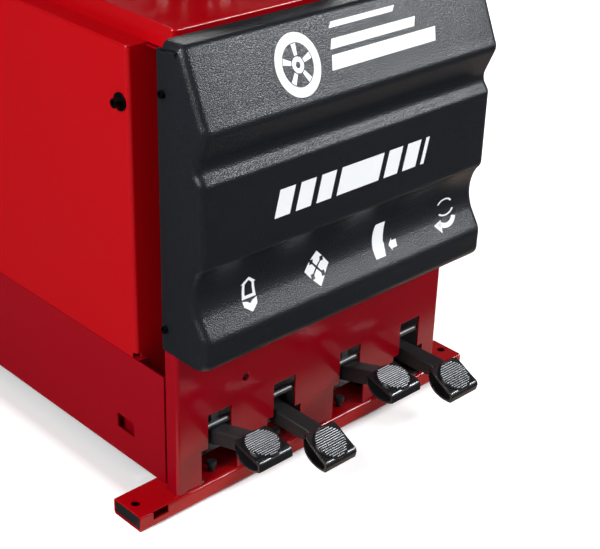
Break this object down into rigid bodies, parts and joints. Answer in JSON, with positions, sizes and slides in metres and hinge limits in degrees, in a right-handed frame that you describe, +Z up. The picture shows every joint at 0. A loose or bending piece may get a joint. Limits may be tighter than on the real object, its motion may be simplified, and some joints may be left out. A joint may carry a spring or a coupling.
{
  "type": "tyre changer",
  "caption": "Pedal-operated tyre changer: red cabinet, black front cover, turntable with jaws, tilting column and side bead breaker.",
  "frame": {"origin": "on the floor, midway between the four anchor holes of the base rails", "axes": "+Z up, the pedals face -Y, the bead breaker is on +X"},
  "size_m": [0.7584, 1.0865, 1.802],
  "materials": {
    "red_paint": "glossy red powder coat",
    "black_cover": "fine-grained black moulding",
    "black_plug": "matt black",
    "black_screw": "black oxide",
    "side_bolt": "black bolt on a zinc washer",
    "zinc_steel": "zinc plated",
    "ground_steel": "ground and polished",
    "spring_steel": "oiled spring steel",
    "black_rubber": "matt rubber",
    "valve_alloy": "satin aluminium",
    "switch_plastic": "black moulding",
    "grey_castings": "grey painted casting",
    "pedal_casting": "gloss black paint on a casting",
    "table_steel": "bare machined plate",
    "jaw_steel": "hardened steel",
    "clear_bowl": "clear polycarbonate",
    "button_plastic": "red push button"
  },
  "bodies": {
    "cabinet": {"air_bowls": "clear_bowl", "air_unit": "valve_alloy", "breaker_cylinder": "valve_alloy", "breaker_hinge": "red_paint", "cable_gland": "black_plug", "column_foot": "red_paint", "column_pin": "zinc_steel", "cover_screws": "black_screw", "deck_plate": "red_paint", "drive_belt": "black_rubber", "front_cover": "black_cover", "front_panel": "red_paint", "front_rail": "red_paint", "gearbox_housing": "grey_castings", "inner_front_wall": "red_paint", "left_side_panel": "red_paint", "left_sill_panel": "red_paint", "motor": "grey_castings", "pedal_brackets": "zinc_steel", "pedal_shaft": "ground_steel", "pedal_springs": "spring_steel", "pedal_valves": "valve_alloy", "rail_end_plugs": "black_plug", "raised_deck": "red_paint", "rear_panel": "red_paint", "rear_rail": "red_paint", "reversing_switch": "switch_plastic", "right_side_panel": "red_paint", "right_sill_panel": "red_paint", "rubber_stops": "black_rubber", "side_panel_bolts": "side_bolt", "stop_bar": "zinc_steel", "tilt_cylinder": "valve_alloy", "tyre_rest_pads": "black_rubber"},
    "pedal_1": {"pedal_lever_1": "pedal_casting", "pedal_pad_1": "pedal_casting"},
    "pedal_2": {"pedal_lever_2": "pedal_casting", "pedal_pad_2": "pedal_casting"},
    "pedal_3": {"pedal_lever_3": "pedal_casting", "pedal_pad_3": "pedal_casting"},
    "pedal_4": {"pedal_lever_4": "pedal_casting", "pedal_pad_4": "pedal_casting"},
    "turntable": {"turntable_plate": "table_steel", "turntable_shaft": "ground_steel"},
    "clamp_jaw_1": {"jaw_1": "jaw_steel"},
    "clamp_jaw_2": {"jaw_2": "jaw_steel"},
    "clamp_jaw_3": {"jaw_3": "jaw_steel"},
    "clamp_jaw_4": {"jaw_4": "jaw_steel"},
    "motor_drive": {"motor_pulley": "valve_alloy"},
    "worm_drive": {"gearbox_pulley": "valve_alloy"},
    "column": {"column_post": "red_paint"},
    "tilt_ram": {"tilt_rod": "ground_steel"},
    "arm": {"horizontal_arm": "red_paint", "lock_grip": "switch_plastic"},
    "button": {"lock_button": "button_plastic"},
    "tool_shaft": {"hex_shaft": "ground_steel", "mount_head": "jaw_steel"},
    "breaker_arm_body": {"breaker_arm": "red_paint"},
    "breaker_ram": {"breaker_rod": "ground_steel"},
    "blade": {"breaker_blade": "jaw_steel"}
  },
  "joints": [
    {"name": "column_tilt_pedal", "type": "hinge", "parent": "cabinet", "child": "pedal_1", "pos_m": [0, -0.28, 0.078], "axis": [1, 0, 0], "range_deg": [0, 15], "stiffness_Nm_per_rad": 12, "springref_deg": -20.05},
    {"name": "clamping_pedal", "type": "hinge", "parent": "cabinet", "child": "pedal_2", "pos_m": [0, -0.28, 0.078], "axis": [1, 0, 0], "range_deg": [-8, 8], "stiffness_Nm_per_rad": 30, "springref_deg": -0.7},
    {"name": "bead_breaker_pedal", "type": "hinge", "parent": "cabinet", "child": "pedal_3", "pos_m": [0, -0.28, 0.078], "axis": [1, 0, 0], "range_deg": [0, 15], "stiffness_Nm_per_rad": 12, "springref_deg": -20.05},
    {"name": "rotation_pedal", "type": "hinge", "parent": "cabinet", "child": "pedal_4", "pos_m": [0, -0.28, 0.078], "axis": [1, 0, 0], "range_deg": [-8, 8], "stiffness_Nm_per_rad": 30, "springref_deg": -0.7},
    {"name": "turntable_spin", "type": "hinge", "parent": "cabinet", "child": "turntable", "pos_m": [0, -0.062, 0.806], "axis": [0, 0, 1], "continuous": true},
    {"name": "jaw_1_slide", "type": "slide", "parent": "turntable", "child": "clamp_jaw_1", "axis": [1, 0, 0], "range_m": [-0.015, 0.04]},
    {"name": "jaw_2_slide", "type": "slide", "parent": "turntable", "child": "clamp_jaw_2", "axis": [0, 1, 0], "range_m": [-0.015, 0.04]},
    {"name": "jaw_3_slide", "type": "slide", "parent": "turntable", "child": "clamp_jaw_3", "axis": [-1, 0, 0], "range_m": [-0.015, 0.04]},
    {"name": "jaw_4_slide", "type": "slide", "parent": "turntable", "child": "clamp_jaw_4", "axis": [0, -1, 0], "range_m": [-0.015, 0.04]},
    {"name": "worm_spin", "type": "hinge", "parent": "cabinet", "child": "worm_drive", "pos_m": [0.125, -0.126, 0.6], "axis": [1, 0, 0], "continuous": true},
    {"name": "motor_spin", "type": "hinge", "parent": "cabinet", "child": "motor_drive", "pos_m": [0.125, -0.15, 0.405], "axis": [1, 0, 0], "continuous": true},
    {"name": "column_tilt", "type": "hinge", "parent": "cabinet", "child": "column", "pos_m": [0, 0.45, 0.47], "axis": [-1, 0, 0], "range_deg": [0, 25]},
    {"name": "tilt_rod_slide", "type": "slide", "parent": "cabinet", "child": "tilt_ram", "axis": [0, -1, 0], "range_m": [0, 0.036]},
    {"name": "arm_slide", "type": "slide", "parent": "column", "child": "arm", "axis": [0, 1, 0], "range_m": [-0.05, 0.09]},
    {"name": "shaft_slide", "type": "slide", "parent": "arm", "child": "tool_shaft", "axis": [0, 0, 1], "range_m": [-0.05, 0.2]},
    {"name": "lock_button_press", "type": "slide", "parent": "arm", "child": "button", "axis": [-1, 0, 0], "range_m": [0, 0.004], "stiffness_N_per_m": 900, "springref_m": -0.003},
    {"name": "breaker_swing", "type": "hinge", "parent": "cabinet", "child": "breaker_arm_body", "pos_m": [0.318, 0.322, 0.25], "axis": [0, 0, 1], "range_deg": [0, 30]},
    {"name": "breaker_rod_slide", "type": "slide", "parent": "cabinet", "child": "breaker_ram", "axis": [1, 0, 0], "range_m": [0, 0.196]},
    {"name": "blade_swivel", "type": "hinge", "parent": "breaker_arm_body", "child": "blade", "pos_m": [0.374, -0.06, 0.25], "axis": [0, 0, 1], "range_deg": [-12, 12]}
  ],
  "couplings": [
    {"joint": "jaw_2_slide", "follows": "jaw_1_slide", "ratio": 1},
    {"joint": "jaw_3_slide", "follows": "jaw_1_slide", "ratio": 1},
    {"joint": "jaw_4_slide", "follows": "jaw_1_slide", "ratio": 1},
    {"joint": "worm_spin", "follows": "turntable_spin", "ratio": 40},
    {"joint": "motor_spin", "follows": "turntable_spin", "ratio": 93.333},
    {"joint": "tilt_rod_slide", "follows": "column_tilt", "m_per_rad": 0.0813},
    {"joint": "breaker_rod_slide", "follows": "breaker_swing", "m_per_rad": 0.37}
  ]
}
